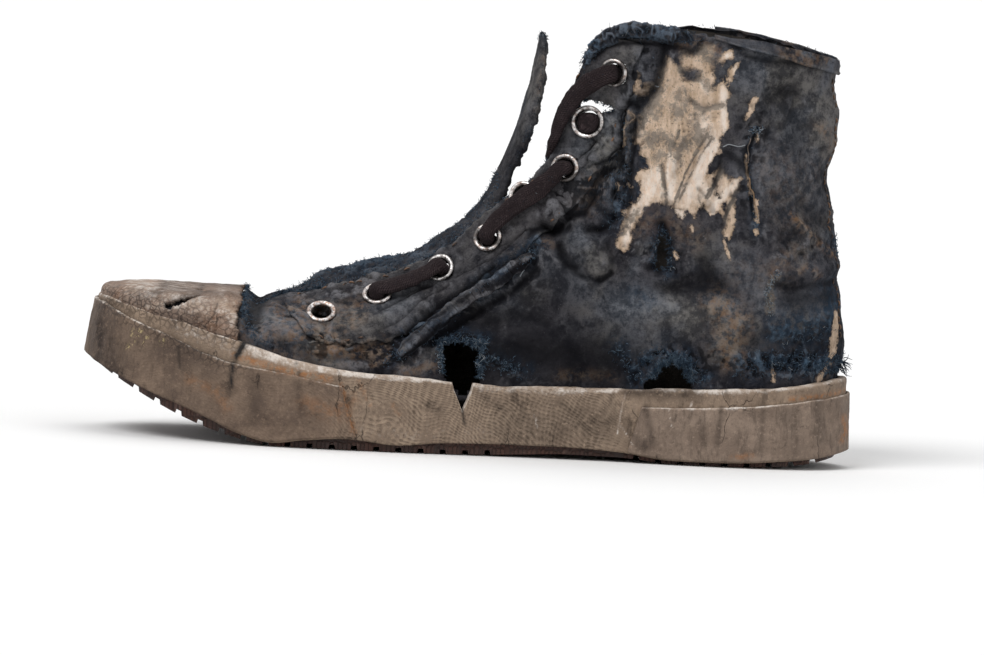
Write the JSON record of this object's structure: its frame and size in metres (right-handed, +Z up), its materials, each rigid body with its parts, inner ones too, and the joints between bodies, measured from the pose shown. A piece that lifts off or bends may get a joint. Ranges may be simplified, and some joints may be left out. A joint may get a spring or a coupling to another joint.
{
  "type": "worn out sneaker",
  "caption": "Worn-out canvas high-top sneaker, left foot: frayed hollow upper torn open in places, cracked rubber sidewall and toe cap, free tongue, metal eyelets, laces.",
  "frame": {"origin": "on the floor, at the centre of the shoe's bounding box in plan", "axes": "+Z up; -X towards the toe, +X towards the heel; -Y towards the outer (lateral) side, +Y towards the inner side"},
  "size_m": [0.3003, 0.1095, 0.1696],
  "materials": {
    "outsole": "worn reddish-brown rubber, matte",
    "sidewall": "dirty cracked off-white rubber, matte",
    "toe_bumper": "dirty cracked rubber, matte, browned",
    "heel_strip": "dirty cracked rubber, matte",
    "toe_cap": "scuffed dirty rubber, matte",
    "insole": "worn dark sock lining",
    "upper": "faded black canvas, bare and frayed in patches",
    "eyestay": "faded black canvas facing",
    "facing_roll": "rolled torn canvas edge, blue-grey",
    "tongue": "faded black canvas with frayed edges",
    "eyelet": "bright nickel, worn",
    "lace": "dark brown woven cotton"
  },
  "bodies": {
    "root": {"outsole": "outsole", "sidewall": "sidewall", "toe_bumper": "toe_bumper", "heel_strip": "heel_strip", "toe_cap": "toe_cap", "insole": "insole", "upper": "upper", "eyestay_outer": "eyestay", "eyestay_inner": "eyestay", "facing_roll": "facing_roll", "tongue": "tongue", "eyelet_outer_1": "eyelet", "eyelet_outer_2": "eyelet", "eyelet_outer_3": "eyelet", "eyelet_outer_4": "eyelet", "eyelet_outer_5": "eyelet", "eyelet_outer_6": "eyelet", "eyelet_outer_7": "eyelet", "eyelet_outer_8": "eyelet", "eyelet_inner_1": "eyelet", "eyelet_inner_2": "eyelet", "eyelet_inner_3": "eyelet", "eyelet_inner_4": "eyelet", "eyelet_inner_5": "eyelet", "eyelet_inner_6": "eyelet", "eyelet_inner_7": "eyelet", "eyelet_inner_8": "eyelet", "lace_low": "lace", "lace_mid": "lace", "lace_top": "lace"}
  },
  "joints": []
}
